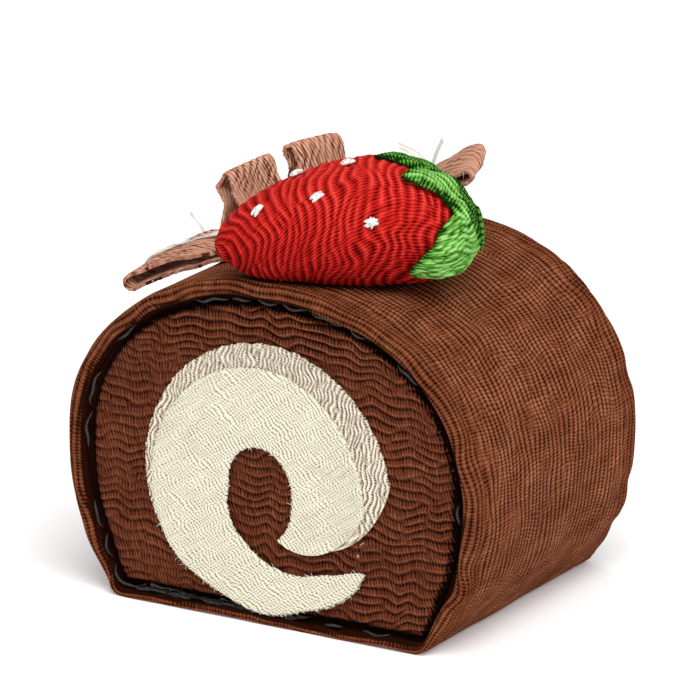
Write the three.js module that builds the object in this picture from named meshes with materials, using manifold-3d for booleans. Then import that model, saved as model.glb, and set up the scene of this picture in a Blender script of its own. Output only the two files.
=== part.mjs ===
// A swiss roll cake made of crepe cloth: a stuffed log in cocoa brown, lying on a flat foot,
// with a cream swirl sewn on each end and a cloth strawberry, ribbon loops and organza tails on top.
// Millimetres, +Z up. The origin is the middle of the flat foot; the decorated end faces -Y.
import * as THREE from "three";
import { mergeVertices } from "three/addons/utils/BufferGeometryUtils.js";
import Module from "manifold-3d";

const wasm = await Module();
wasm.setup();

const { sin, cos, PI, abs, min, max, pow, sqrt, hypot } = Math;
const radians = THREE.MathUtils.degToRad;
const { clamp, lerp, smoothstep } = THREE.MathUtils;

// Driving dimensions
const CLEARANCE = 0.3; // between any two pieces of cloth

const ROLL = {
  length: 42.2, // along Y
  halfWidth: 30, // at the widest height
  widestAt: 20.6, // that height
  crown: 24.6, // from there to the top
  crownPower: 2.15, // 2 is an ellipse; a little squarer here
  footHalf: 23, // half width of the flat foot
  flankPower: 2.6, // how late the flank turns in towards the foot
  footRound: 1.4,
};

// The cover is rolled over at each end into a soft welt, and the end panel lies inside it.
const WELT = { side: 2.2, base: 1, round: 1.1, recess: 2.1 };

const PANEL = { front: 0.75, edge: 1.25, back: WELT.recess - CLEARANCE };

// Angles are in degrees, anticlockwise from +X. The blunt inner end is cut on a slant: its inner
// edge, middle and outer edge start at different angles.
const SWIRL = {
  centre: [-1.6, 16.9],
  cut: { inner: -62, middle: -36, outer: 0 },
  end: 333, // the pointed tail
  cloth: 0.3, // thickness of one appliqued layer
};

// The cream layer's edges: angle, radius of the inner edge, radius of the outer edge.
const SWIRL_EDGES = [
  [-70, 6.32, 16.92],
  [-36, 5.52, 16.12],
  [0, 5, 15.6],
  [40, 5.62, 16.22],
  [80, 6.46, 17.06],
  [120, 6.13, 16.74],
  [150, 5.1, 16.25],
  [172, 4.53, 16.13],
  [200, 4.99, 15.96],
  [215, 5.4, 15.88],
  [223, 5.7, 15.69],
  [233, 6.08, 15.3],
  [241, 6.4, 15.12],
  [254, 6.96, 15.08],
  [262, 7.55, 15.4],
  [270, 8.2, 15.7],
  [281, 9.22, 15.75],
  [290, 10.16, 15.6],
  [298.5, 11.1, 15.9],
  [306.6, 11.92, 16.5],
  [314.2, 12.73, 17],
  [320.5, 13.83, 17.4],
  [326.2, 15, 17.6],
  [331, 16.3, 17.6],
  [333, 16.85, 17.5],
];

// The beige layer under the cream one stands out round its outer edge, most at the upper right.
const SHADOW = {
  cut: { inner: -46, middle: -24, outer: 12 },
  most: 4,
  narrowFrom: 40,
  narrowTo: 212,
  narrowPower: 1.3,
  hem: 0.25, // it stands out at least this much, but for the last of its tail
  tucked: 0.6, // how much further its inner edge lies under the cream
};

const BERRY = {
  length: 33,
  radius: 8.3,
  widestAt: 20.5, // from the tip
  tipPower: 0.53,
  basePower: 2,
  through: [9.1, -7.8, 52], // a point of its axis
  throughAt: 21.6, // how far that point is from the tip
  heading: 38, // degrees from +X towards +Y, tip to leaves
  pitch: 3.6,
  droop: 1.2, // the tip hangs this much below the straight axis
  sag: { from: 22.6, slope: 0.21, ease: 1.5 }, // and the leaf end sinks too
};

const KNOT = { long: 2, wide: 0.95, proud: 0.35 };

const LEAF = { cloth: 0.6, lift: 0.55, tipOff: 0.4 };

const RIBBON = { cloth: 0.7 };
const ORGANZA = { cloth: 0.4 };

// Solids

/** A mesh geometry as a manifold solid, facing out. */
function solidOf(geometry) {
  const bare = geometry.index ? geometry.toNonIndexed() : geometry.clone();
  bare.deleteAttribute("normal");
  bare.deleteAttribute("uv");
  const merged = mergeVertices(bare, 1e-4);
  return new wasm.Manifold(
    new wasm.Mesh({
      numProp: 3,
      vertProperties: merged.attributes.position.array,
      triVerts: new Uint32Array(merged.index.array),
    }),
  );
}

/** A manifold solid as a mesh geometry. */
function geometryOf(solid) {
  const mesh = solid.getMesh();
  return new THREE.BufferGeometry()
    .setAttribute("position", new THREE.BufferAttribute(mesh.vertProperties, 3))
    .setIndex(new THREE.BufferAttribute(mesh.triVerts, 1));
}

/** An indexed geometry from points and triangles, turned to face out. */
function closedGeometry(points, triangles) {
  let volume = 0;
  for (const [a, b, c] of triangles)
    volume += points[a].dot(new THREE.Vector3().crossVectors(points[b], points[c]));
  const facing = volume < 0 ? triangles.map(([a, b, c]) => [a, c, b]) : triangles;
  return new THREE.BufferGeometry().setFromPoints(points).setIndex(facing.flat());
}

/** Joins rings of equal count into one closed skin, each end closed by a fan to its middle. */
function loft(rings) {
  const count = rings[0].length;
  const points = rings.flat();
  const triangles = [];
  for (let r = 0; r + 1 < rings.length; r++)
    for (let i = 0; i < count; i++) {
      const a = r * count + i;
      const b = r * count + ((i + 1) % count);
      triangles.push([a, b, b + count], [a, b + count, a + count]);
    }
  for (const [ring, turned] of [
    [0, true],
    [rings.length - 1, false],
  ]) {
    const middle = rings[ring].reduce((sum, p) => sum.add(p), new THREE.Vector3()).divideScalar(count);
    points.push(middle);
    for (let i = 0; i < count; i++) {
      const a = ring * count + i;
      const b = ring * count + ((i + 1) % count);
      triangles.push(turned ? [b, a, points.length - 1] : [a, b, points.length - 1]);
    }
  }
  return closedGeometry(points, triangles);
}

/** A thin cloth solid round the surface at(u, v), with u from 0 to 1 and v from -1 to 1. */
function clothSolid(at, thickness, alongSteps, acrossSteps) {
  const nudge = 1e-3;
  const grid = (side) => {
    const points = [];
    for (let i = 0; i <= alongSteps; i++)
      for (let j = 0; j <= acrossSteps; j++) {
        const u = i / alongSteps;
        const v = (2 * j) / acrossSteps - 1;
        const alongU = at(min(u + nudge, 1), v).sub(at(max(u - nudge, 0), v));
        const alongV = at(u, min(v + nudge, 1)).sub(at(u, max(v - nudge, -1)));
        const normal = alongU.cross(alongV).normalize();
        points.push(at(u, v).addScaledVector(normal, (side * thickness) / 2));
      }
    return points;
  };
  const row = acrossSteps + 1;
  const layer = row * (alongSteps + 1);
  const points = [...grid(1), ...grid(-1)];
  const triangles = [];
  for (let i = 0; i < alongSteps; i++)
    for (let j = 0; j < acrossSteps; j++) {
      const a = i * row + j;
      const b = a + row;
      triangles.push([a, b, b + 1], [a, b + 1, a + 1]);
      triangles.push([a + layer, b + 1 + layer, b + layer], [a + layer, a + 1 + layer, b + 1 + layer]);
    }
  const rim = [];
  for (let i = 0; i < alongSteps; i++) rim.push([i * row, (i + 1) * row]);
  for (let j = 0; j < acrossSteps; j++) rim.push([alongSteps * row + j, alongSteps * row + j + 1]);
  for (let i = alongSteps; i > 0; i--) rim.push([i * row + acrossSteps, (i - 1) * row + acrossSteps]);
  for (let j = acrossSteps; j > 0; j--) rim.push([j, j - 1]);
  for (const [a, b] of rim) triangles.push([a, a + layer, b + layer], [a, b + layer, b]);
  return closedGeometry(points, triangles);
}

// The roll's section, in X and Z

/** Points of the outer section, anticlockwise from the right end of the foot. */
function rollOutline(grow = 0) {
  const flankSteps = 9;
  const crownSteps = 13;
  const footSteps = 10;
  const half = [];
  for (let i = 0; i <= flankSteps; i++) {
    const down = 1 - i / flankSteps;
    const x = ROLL.halfWidth - (ROLL.halfWidth - ROLL.footHalf) * pow(down, ROLL.flankPower);
    half.push([x, ROLL.widestAt * (1 - down)]);
  }
  for (let i = 1; i < crownSteps; i++) {
    const turn = (PI / 2) * (i / crownSteps);
    const x = ROLL.halfWidth * pow(cos(turn), 2 / ROLL.crownPower);
    half.push([x, ROLL.widestAt + ROLL.crown * pow(sin(turn), 2 / ROLL.crownPower)]);
  }
  // The sharp corner at the foot becomes a short curve from the foot into the flank.
  const [corner, above] = half;
  const lean = hypot(above[0] - corner[0], above[1] - corner[1]);
  const onFlank = corner.map((value, k) => lerp(value, above[k], ROLL.footRound / lean));
  const onFoot = [corner[0] - ROLL.footRound, 0];
  const curve = [0, 0.33, 0.67, 1].map((t) =>
    [0, 1].map((k) => (1 - t) ** 2 * onFoot[k] + 2 * t * (1 - t) * corner[k] + t * t * onFlank[k]),
  );
  const right = [...curve, ...half.slice(1)];
  const top = [0, ROLL.widestAt + ROLL.crown];
  const left = right.map(([x, z]) => [-x, z]).reverse();
  const foot = [];
  for (let i = 1; i < footSteps; i++) foot.push([lerp(-onFoot[0], onFoot[0], i / footSteps), 0]);
  const outline = [...right, top, ...left, ...foot];
  return grow ? inset(outline, () => -grow) : outline;
}

/** The outline moved inwards by amount(z) at each point. */
function inset(outline, amount) {
  return outline.map(([x, z], i) => {
    const before = outline[(i + outline.length - 1) % outline.length];
    const after = outline[(i + 1) % outline.length];
    const along = [after[0] - before[0], after[1] - before[1]];
    const size = hypot(...along);
    const by = amount(z);
    return [x - (along[1] / size) * by, z + (along[0] / size) * by];
  });
}

const weltWidth = (z) => lerp(WELT.base, WELT.side, smoothstep(z, 0, 7));

/** A ring of the roll: the outline drawn in by a share of the welt plus more, at depth y. */
const rollRing = (outline, share, y, more = 0) =>
  inset(outline, (z) => share * weltWidth(z) + more).map(([x, z]) => new THREE.Vector3(x, y, z));

/** The stuffed roll: cover, welts and the shallow recess at each end. */
function rollCover() {
  const outline = rollOutline();
  const end = ROLL.length / 2;
  const roundSteps = 6;
  const middleSteps = 4;
  const profile = [[1, WELT.recess]];
  for (let i = roundSteps; i >= 0; i--) {
    const turn = (PI * i) / roundSteps;
    profile.push([(1 - cos(turn)) / 2, WELT.round * (1 - sin(turn))]);
  }
  const front = profile.map(([share, depth]) => rollRing(outline, share, depth - end));
  const middle = [];
  for (let i = 1; i < middleSteps; i++)
    middle.push(rollRing(outline, 0, lerp(WELT.round - end, end - WELT.round, i / middleSteps)));
  const back = profile.map(([share, depth]) => rollRing(outline, share, end - depth)).reverse();
  return loft([...front, ...middle, ...back]);
}

/** The flat cloth panel inside the welt, on the end that side names: -1 front, 1 back. */
function endPanel(side) {
  const outline = rollOutline();
  const end = ROLL.length / 2;
  const rings = [
    [0, PANEL.back],
    [0, PANEL.edge],
    [0.5, PANEL.front],
    [6, PANEL.front],
  ];
  return loft(rings.map(([more, depth]) => rollRing(outline, 1, side * (end - depth), CLEARANCE + more)));
}

// The swirl, in X and Z on an end panel

/** Radii of the cream layer's inner and outer edges at an angle in degrees. */
function swirlEdges(angle) {
  const table = SWIRL_EDGES;
  let i = 0;
  while (i < table.length - 2 && angle > table[i + 1][0]) i++;
  const slope = (row, k) => {
    const before = table[max(row - 1, 0)];
    const after = table[min(row + 1, table.length - 1)];
    return (after[k] - before[k]) / (after[0] - before[0]);
  };
  const [start, stop] = [table[i], table[i + 1]];
  const span = stop[0] - start[0];
  const t = clamp((angle - start[0]) / span, 0, 1);
  return [1, 2].map((k) => {
    const eased = start[k] * (1 + 2 * t) * (1 - t) ** 2 + stop[k] * t * t * (3 - 2 * t);
    return eased + span * (slope(i, k) * t * (1 - t) ** 2 - slope(i + 1, k) * t * t * (1 - t));
  });
}

/** How far the beige layer stands out past the cream at an angle in degrees. */
function shadowMargin(angle) {
  const { narrowFrom, narrowTo, narrowPower } = SHADOW;
  const share = clamp((angle - narrowFrom) / (narrowTo - narrowFrom), 0, 1);
  const hem = SHADOW.hem * clamp((SWIRL.end - angle) / 20, 0, 1);
  return max(SHADOW.most * (1 - pow(share, narrowPower)), hem);
}

/** The angle at which a layer starts, at v from -1, its inner edge, to 1, its outer edge. */
const startAngle = ({ inner, middle, outer }, v) =>
  middle + ((outer - inner) / 2) * v + ((outer + inner) / 2 - middle) * v * v;

/** One layer of the swirl as a thin solid whose middle plane is at y. */
function swirlLayer(y, isShadow) {
  const at = (u, v) => {
    const angle = lerp(startAngle(isShadow ? SHADOW.cut : SWIRL.cut, v), SWIRL.end, u);
    const [inner, outer] = swirlEdges(angle);
    const tucked = isShadow ? min(SHADOW.tucked, (outer - inner) * 0.35) : 0;
    const margin = isShadow ? shadowMargin(angle) : 0;
    const r = lerp(inner + tucked, outer + margin, (v + 1) / 2);
    const x = SWIRL.centre[0] + r * cos(radians(angle));
    return new THREE.Vector3(x, y, SWIRL.centre[1] + r * sin(radians(angle)));
  };
  return clothSolid(at, SWIRL.cloth, 36, 4);
}

// The strawberry

const heading = radians(BERRY.heading);
const pitch = radians(BERRY.pitch);
const berryAxis = new THREE.Vector3(cos(heading) * cos(pitch), sin(heading) * cos(pitch), sin(pitch));
const berryUp = new THREE.Vector3(0, 0, 1).addScaledVector(berryAxis, -berryAxis.z).normalize();
const berrySide = new THREE.Vector3().crossVectors(berryAxis, berryUp); // towards the viewer's side, -Y
const berryTip = new THREE.Vector3(...BERRY.through).addScaledVector(berryAxis, -BERRY.throughAt);

/** The strawberry's radius at a distance from its tip. */
function berryRadius(along) {
  const { widestAt, length, radius, tipPower, basePower } = BERRY;
  if (along < widestAt) return radius * pow(sin((PI / 2) * clamp(along / widestAt, 0, 1)), tipPower);
  const past = clamp((along - widestAt) / (length - widestAt), 0, 1);
  return radius * pow(1 - pow(past, basePower), 1 / basePower);
}

/** The middle of the strawberry at a distance from its tip. */
function berryMiddle(along) {
  const { from, slope, ease } = BERRY.sag;
  const past = along - from;
  const sunk = (slope * (past + sqrt(past * past + ease))) / 2;
  const drooped = BERRY.droop * max(0, 1 - along / BERRY.throughAt) ** 2;
  return berryTip.clone().addScaledVector(berryAxis, along).addScaledVector(berryUp, -drooped - sunk);
}

/** The direction away from the axis at a turn in degrees: 0 is up and 90 is the viewer's side. */
const berryOut = (turn) =>
  berryUp.clone().multiplyScalar(cos(radians(turn))).addScaledVector(berrySide, sin(radians(turn)));

/** A point of the strawberry's skin, and so much proud of it. */
function berryPoint(along, turn, proud = 0) {
  const near = 0.05;
  const slope = (berryRadius(along + near) - berryRadius(along - near)) / (2 * near);
  const normal = berryOut(turn).addScaledVector(berryAxis, -clamp(slope, -8, 8)).normalize();
  const skin = berryMiddle(along).addScaledVector(berryOut(turn), berryRadius(along));
  return skin.addScaledVector(normal, proud);
}

// White knots: distance from the tip, turn round the axis, and how far the stitch leans off the axis.
const KNOTS = [
  [5.5, 33, 28],
  [11.2, -10, 12],
  [12.9, 42, 15],
  [17.6, 4, 0],
  [19.2, 74, -8],
  [6, -60, 20],
  [10.5, -95, -15],
  [14.5, -50, 10],
  [19, -85, 25],
  [23, -40, -10],
  [13, -135, 5],
  [20, -128, -20],
];

function strawberry() {
  const lengthSteps = 26;
  const turnSteps = 40;
  const rings = [];
  for (let i = 1; i < lengthSteps; i++) {
    const along = (BERRY.length * (1 - cos((PI * i) / lengthSteps))) / 2;
    const ring = [];
    for (let j = 0; j < turnSteps; j++) ring.push(berryPoint(along, (360 * j) / turnSteps));
    rings.push(ring);
  }
  let made = solidOf(loft(rings));
  for (const [along, turn, lean] of KNOTS) {
    const at = berryPoint(along, turn, KNOT.proud - KNOT.wide / 2);
    const out = berryPoint(along, turn, 1).sub(berryPoint(along, turn)).normalize();
    const across = new THREE.Vector3().crossVectors(out, berryAxis).normalize();
    const stitch = new THREE.Vector3().crossVectors(across, out).applyAxisAngle(out, radians(lean));
    const other = new THREE.Vector3().crossVectors(out, stitch);
    const place = new THREE.Matrix4().makeBasis(stitch, other, out).setPosition(at);
    const size = new THREE.Matrix4().makeScale(KNOT.long / 2, KNOT.wide / 2, KNOT.wide / 2);
    made = made.add(solidOf(new THREE.SphereGeometry(1, 8, 6).applyMatrix4(place.multiply(size))));
  }
  // It is sewn down, so its underside takes the shape of the roll.
  const end = ROLL.length / 2 + CLEARANCE;
  const outline = rollOutline(CLEARANCE);
  const roll = loft([-end, end].map((y) => outline.map(([x, z]) => new THREE.Vector3(x, y, z))));
  return geometryOf(made.subtract(solidOf(roll)));
}

// How far the calyx reaches over the skin from the leaf end, by turn: a line for each of the five leaves,
// from one notch over the tip to the next notch.
const CALYX_EDGE = [
  [[-52, 6.3], [-44, 8.2], [-30, 11], [-14, 13.6], [-4, 15.2], [3, 16.1], [8, 14.6], [11, 12.6], [14, 9.6]],
  [[14, 9.6], [17, 10.4], [20, 11.3], [28, 12.6], [34, 13.5], [38, 12.7], [40, 10.6], [43, 8.6], [60, 6.6]],
  [[60, 6.6], [74, 8.3], [90, 9.8], [104, 11.5], [117, 13.1], [123, 13.4], [129, 12.5], [137, 8.5], [152, 6]],
  [[152, 6], [165, 6.6], [180, 8], [195, 9], [208, 7.8], [220, 6.3], [229, 5.9]],
  [[229, 5.9], [240, 7.8], [251, 10.4], [262, 12], [273, 10.4], [284, 8], [296, 6.4], [308, 6.3]],
];

/** Walks over the berry's skin from the leaf end, and notes the distance from the tip every 0.1 mm. */
function walkFromBase(cloth) {
  const step = 0.1;
  const path = [BERRY.length];
  for (let walked = 0; walked < cloth; walked += step) {
    const along = path[path.length - 1];
    const next = max(along - step * 0.02, 0);
    const slope = (berryRadius(next) - berryRadius(along)) / (along - next);
    path.push(max(along - step / hypot(1, min(abs(slope), 60)), 0));
  }
  return (reach) => {
    const place = reach / step;
    const here = Math.floor(place);
    return lerp(path[here], path[here + 1], place - here);
  };
}

/** The calyx: five pointed leaves of one piece of cloth over the strawberry's end. */
function calyx() {
  const { cloth, lift, tipOff } = LEAF;
  const alongAt = walkFromBase(17);
  const blades = CALYX_EDGE.map((edge) => {
    // Each leaf runs a little into the next, so that they join.
    const [first, last] = [edge[0], edge[edge.length - 1]];
    const line = [[first[0] - 0.8, first[1]], ...edge.slice(1, -1), [last[0] + 0.8, last[1]]];
    const at = (u, v) => {
      const place = min(((v + 1) / 2) * (line.length - 1), line.length - 1.0001);
      const [here, next] = [line[Math.floor(place)], line[Math.floor(place) + 1]];
      const turn = lerp(here[0], next[0], place % 1);
      const reach = lerp(0.5, lerp(here[1], next[1], place % 1), u);
      const off = lift + cloth / 2 + tipOff * smoothstep(reach, 6, 14);
      return berryPoint(alongAt(reach), turn, off);
    };
    return solidOf(clothSolid(at, cloth, 6, line.length - 1));
  });
  const button = new THREE.CylinderGeometry(2.6, 2.9, cloth + 0.35, 20);
  const middle = berryMiddle(BERRY.length + lift + cloth / 2 - 0.05);
  const frame = new THREE.Matrix4().makeBasis(berrySide, berryAxis, berryUp).setPosition(middle);
  const whole = blades.reduce((sum, blade) => sum.add(blade), solidOf(button.applyMatrix4(frame)));
  return geometryOf(whole);
}

// Ribbon loops: the middle line of each folded strip, and the vector of its half width at the fold.
const LOOPS = {
  ribbon_loop_left_low: {
    half: [0.58, 3.84, 0.97],
    line: [
      [-7.5, -6, 46.4],
      [-12.5, -6.2, 45.2],
      [-16.3, -6.2, 43.8],
      [-19.9, -6.2, 42.4],
      [-24.5, -6.2, 40.3],
      [-27.3, -6.2, 38.8],
      [-28.1, -6.2, 39.3],
      [-27.4, -6.2, 39.9],
      [-24.5, -6.2, 41.4],
      [-19.9, -6.2, 43.4],
      [-16.3, -6.2, 44.7],
      [-12.5, -6.1, 46.1],
      [-7.5, -6, 47.3],
    ],
  },
  ribbon_loop_left_up: {
    half: [1, 3.8, 0.6],
    line: [
      [-12.3, 2, 44.3],
      [-12.9, 1.9, 45.9],
      [-14, 1.8, 47.6],
      [-15.6, 1.8, 49.3],
      [-16.6, 1.8, 51.1],
      [-17.3, 1.8, 52.6],
      [-18.1, 1.8, 53],
      [-18.9, 1.8, 52.3],
      [-18.8, 1.8, 51.1],
      [-18, 1.8, 49.8],
      [-17.9, 1.8, 48],
      [-18.2, 1.8, 45.9],
      [-18.4, 1.8, 43.6],
      [-18.3, 1.8, 41.5],
    ],
  },
  ribbon_loop_middle_up: {
    half: [1.28, 3.78, -0.1],
    line: [
      [-3.6, 1.8, 45.6],
      [-4.5, 1.8, 50],
      [-5.3, 1.8, 52.8],
      [-5.7, 1.8, 54.8],
      [-6.2, 1.8, 56.9],
      [-7, 1.8, 57.8],
      [-7.9, 1.8, 57.3],
      [-7.9, 1.8, 56.3],
      [-7.2, 1.8, 55.1],
      [-7.2, 1.8, 53.4],
      [-7.3, 1.8, 51],
      [-7.2, 1.8, 48.5],
      [-6.9, 1.8, 45.4],
    ],
  },
  ribbon_loop_right_up: {
    half: [-1.27, 3.73, 0.67],
    line: [
      [-1.5, 11.2, 46.5],
      [1.6, 11.4, 47.7],
      [5.1, 11.7, 50.2],
      [9, 11.7, 52.8],
      [11.2, 11.7, 53.9],
      [11.9, 11.7, 54.6],
      [11.4, 11.7, 55.4],
      [10.1, 11.8, 55.2],
      [5.1, 11.8, 52.1],
      [1.4, 11.4, 49.5],
      [-1.3, 11.2, 48],
    ],
  },
};

const TAILS = {
  organza_tail_left: {
    half: [0.05, 0.35, 0.1],
    line: [
      [-20.5, -1.3, 40.2],
      [-20.9, -1.4, 42.1],
      [-21.7, -1.5, 44.1],
      [-23.5, -1.8, 46.3],
    ],
  },
  organza_over_left: {
    half: [0.25, 1.1, 0.28],
    line: [
      [-18.5, -4.3, 45.35],
      [-22, -4.3, 43.9],
      [-26, -4.3, 42.05],
      [-28.3, -4.3, 40.8],
      [-29.4, -4.4, 39.4],
    ],
  },
  organza_tail_back_left: {
    half: [0.15, 0.4, 0.5],
    line: [
      [3.5, 5.6, 46],
      [6.5, 5.6, 50],
      [8.1, 5.4, 54],
      [7, 5.2, 56.5],
      [3.6, 5.2, 57.8],
    ],
  },
  organza_tail_back_right: {
    half: [0.5, -0.3, -0.25],
    line: [
      [5.5, 7, 45.8],
      [7.3, 7, 50],
      [7.6, 7, 54],
      [8.2, 6.9, 56.5],
      [9.4, 6.8, 59],
    ],
  },
};

/** A strip of cloth along a smooth line, as wide as twice the vector half. */
function strip({ line, half }, cloth, steps) {
  const route = new THREE.CatmullRomCurve3(line.map((p) => new THREE.Vector3(...p)), false, "centripetal");
  const across = new THREE.Vector3(...half);
  const at = (u, v) => route.getPoint(u).addScaledVector(across, v);
  return clothSolid(at, cloth, steps, 2);
}

// The scene graph
const cocoa = new THREE.MeshStandardMaterial({ color: 0x7b4732, roughness: 0.9, metalness: 0 });
const cocoaEnd = new THREE.MeshStandardMaterial({ color: 0x5f311f, roughness: 0.92, metalness: 0 });
const beige = new THREE.MeshStandardMaterial({ color: 0xcbbdaa, roughness: 0.9, metalness: 0 });
const cream = new THREE.MeshStandardMaterial({ color: 0xe9e4cf, roughness: 0.88, metalness: 0 });
const red = new THREE.MeshStandardMaterial({ color: 0xb0241f, roughness: 0.82, metalness: 0 });
const green = new THREE.MeshStandardMaterial({ color: 0x689d48, roughness: 0.85, metalness: 0 });
const rose = new THREE.MeshStandardMaterial({ color: 0xb6846b, roughness: 0.88, metalness: 0 });
const organza = new THREE.MeshStandardMaterial({
  color: 0xf4f5ec,
  roughness: 0.5,
  metalness: 0,
  transparent: true,
  opacity: 0.5,
});

const cake = new THREE.Group();

function addPiece(name, geometry, material) {
  geometry.computeVertexNormals();
  const mesh = new THREE.Mesh(geometry, material);
  mesh.name = name;
  cake.add(mesh);
}

addPiece("roll_cover", rollCover(), cocoa);
const endFace = ROLL.length / 2 - PANEL.front;
const layerStep = SWIRL.cloth + 0.05;
for (const [name, side] of [
  ["front", -1],
  ["back", 1],
]) {
  addPiece("end_panel_" + name, endPanel(side), cocoaEnd);
  const lower = endFace + 0.05 + SWIRL.cloth / 2;
  addPiece("beige_swirl_" + name, swirlLayer(side * lower, true), beige);
  addPiece("cream_swirl_" + name, swirlLayer(side * (lower + layerStep), false), cream);
}
addPiece("strawberry", strawberry(), red);
addPiece("calyx", calyx(), green);
for (const [name, loop] of Object.entries(LOOPS)) addPiece(name, strip(loop, RIBBON.cloth, 34), rose);
for (const [name, tail] of Object.entries(TAILS)) addPiece(name, strip(tail, ORGANZA.cloth, 10), organza);

export default cake;
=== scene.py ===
import math

import bpy
import numpy as np
from mathutils import Matrix, Vector


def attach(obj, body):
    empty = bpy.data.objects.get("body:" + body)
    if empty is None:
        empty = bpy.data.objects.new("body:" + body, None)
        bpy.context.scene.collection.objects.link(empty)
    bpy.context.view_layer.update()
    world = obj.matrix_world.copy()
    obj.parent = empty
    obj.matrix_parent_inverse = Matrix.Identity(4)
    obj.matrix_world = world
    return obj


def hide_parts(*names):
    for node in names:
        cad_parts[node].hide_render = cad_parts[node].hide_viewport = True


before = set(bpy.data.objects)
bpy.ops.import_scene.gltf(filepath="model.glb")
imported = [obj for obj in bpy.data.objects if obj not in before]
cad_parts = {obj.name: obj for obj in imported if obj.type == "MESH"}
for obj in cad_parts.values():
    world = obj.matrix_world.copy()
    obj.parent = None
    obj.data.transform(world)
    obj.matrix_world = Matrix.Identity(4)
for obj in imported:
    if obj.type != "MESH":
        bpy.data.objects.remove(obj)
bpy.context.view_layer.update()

MM = 0.001

# Camera
aim = Vector((-5.29, 8.13, 27.93)) * MM
towards_camera = Vector((0.4843, -0.8111, 0.3280)).normalized()
bpy.ops.object.camera_add(location=1.2 * towards_camera)
camera = bpy.context.object
camera.rotation_euler = (aim - camera.location).to_track_quat("-Z", "Y").to_euler()
camera.data.lens = 475.7
camera.data.sensor_width = 36
camera.data.clip_start, camera.data.clip_end = 0.05, 20
bpy.context.scene.camera = camera
bpy.context.scene.view_settings.view_transform = "Standard"


# Modelling helpers

def pick_only(piece):
    bpy.ops.object.select_all(action="DESELECT")
    piece.select_set(True)
    bpy.context.view_layer.objects.active = piece


def cloth_grid(name, points, cloth, tone, closed=False, weave=1.0):
    """A grid whose rows and columns of vertices lie at points, in millimetres.

    cloth holds each vertex's place on the flat cloth, roughly along and across its ridges, in millimetres,
    and tone is 0 in a dark furrow and 1 on a light crest. weave is how clearly the crossing threads show.
    A closed grid's last column meets its first."""
    rows, columns = points.shape[:2]
    bpy.ops.object.select_all(action="DESELECT")
    bpy.ops.mesh.primitive_grid_add(x_subdivisions=columns - 1, y_subdivisions=rows - 1, size=1)
    piece = bpy.context.object
    piece.name = piece.data.name = name
    mesh = piece.data
    mesh.vertices.foreach_set("co", (points * MM).astype(np.float32).ravel())
    corners = np.empty(len(mesh.loops), np.int32)
    mesh.loops.foreach_get("vertex_index", corners)
    layer = mesh.uv_layers.active
    layer.name = "cloth"
    layer.data.foreach_set("uv", (cloth / 10).reshape(-1, 2)[corners].astype(np.float32).ravel())
    for attribute, values in (("tone", tone), ("weave", weave + 0 * tone)):
        layer = mesh.attributes.new(attribute, "FLOAT", "POINT")
        layer.data.foreach_set("value", values.astype(np.float32).ravel())
    mesh.update()
    if closed:
        bpy.ops.object.mode_set(mode="EDIT")
        bpy.ops.mesh.select_all(action="SELECT")
        bpy.ops.mesh.remove_doubles(threshold=1e-7)
        bpy.ops.object.mode_set(mode="OBJECT")
    return piece


def facing(points, closed=False):
    """Unit normals of a grid of points."""
    if closed:
        wide = np.concatenate([points[:, -2:-1], points, points[:, 1:2]], axis=1)
        along = (wide[:, 2:] - wide[:, :-2]) / 2
    else:
        along = np.gradient(points, axis=1)
    normal = np.cross(along, np.gradient(points, axis=0))
    return normal / np.maximum(np.linalg.norm(normal, axis=2, keepdims=True), 1e-12)


def crepe_waves(along, across, pitch, wander, seed, spread=0.09, count=44):
    """Waves whose crests run along one way, added up; two lies of a cloth can be blended by their sums."""
    chance = np.random.default_rng(seed)
    total = np.zeros(np.shape(along), np.complex64)
    for _ in range(count):
        turn = chance.normal(0, wander)
        pace = 2 * math.pi / pitch * (1 + chance.normal(0, spread))
        phase = pace * (math.sin(turn) * along + math.cos(turn) * across) + chance.uniform(0, 2 * math.pi)
        total += np.exp(1j * phase.astype(np.float32))
    return total / math.sqrt(count)


def ridges_of(waves):
    """The share of the way from one furrow to the next, and how firm the ridge is there, 0 to 1."""
    return (np.angle(waves) / (2 * math.pi)) % 1, np.minimum(1, 1.8 * np.abs(waves))


def ripples(along, across, pitch, wander, seed, spread=0.09):
    """Crepe ridges that run along one way and wander, branch and end as real ones do."""
    return ridges_of(crepe_waves(along, across, pitch, wander, seed, spread))


def swell_of(share, firm, crest=0.5):
    """Height, 0 in a furrow to 1 on a crest that comes this share of the way across."""
    height = 0.5 - 0.5 * np.cos(2 * math.pi * share ** (math.log(0.5) / math.log(crest)))
    return 0.5 + (height - 0.5) * np.minimum(firm, 1)


def tone_of(share, firm, crest, light, light_width, dark, dark_width):
    """Lightness about 0.5: a light line along each crest, a painted highlight, and a dark one in each furrow,
    painted shade.
    """
    from_crest = np.minimum(np.abs(share - crest), 1 - np.abs(share - crest))
    from_furrow = np.minimum(share, 1 - share)
    line = light * np.exp(-((from_crest / light_width) ** 2))
    gap = dark * np.exp(-((from_furrow / dark_width) ** 2))
    return 0.5 + (line - gap) * firm


def drift(x, y, size, seed, count=10):
    """Slow unevenness, from about -1 to 1, over patches of this size."""
    chance = np.random.default_rng(seed)
    total = np.zeros(np.shape(x))
    for _ in range(count):
        turn = chance.uniform(0, 2 * math.pi)
        pace = 2 * math.pi / size * chance.uniform(0.5, 1.5)
        total += np.cos(pace * (math.cos(turn) * x + math.sin(turn) * y) + chance.uniform(0, 2 * math.pi))
    return total / math.sqrt(count) * 0.8


def smooth(value, low, high):
    share = np.clip((value - low) / (high - low), 0, 1)
    return share * share * (3 - 2 * share)


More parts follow.
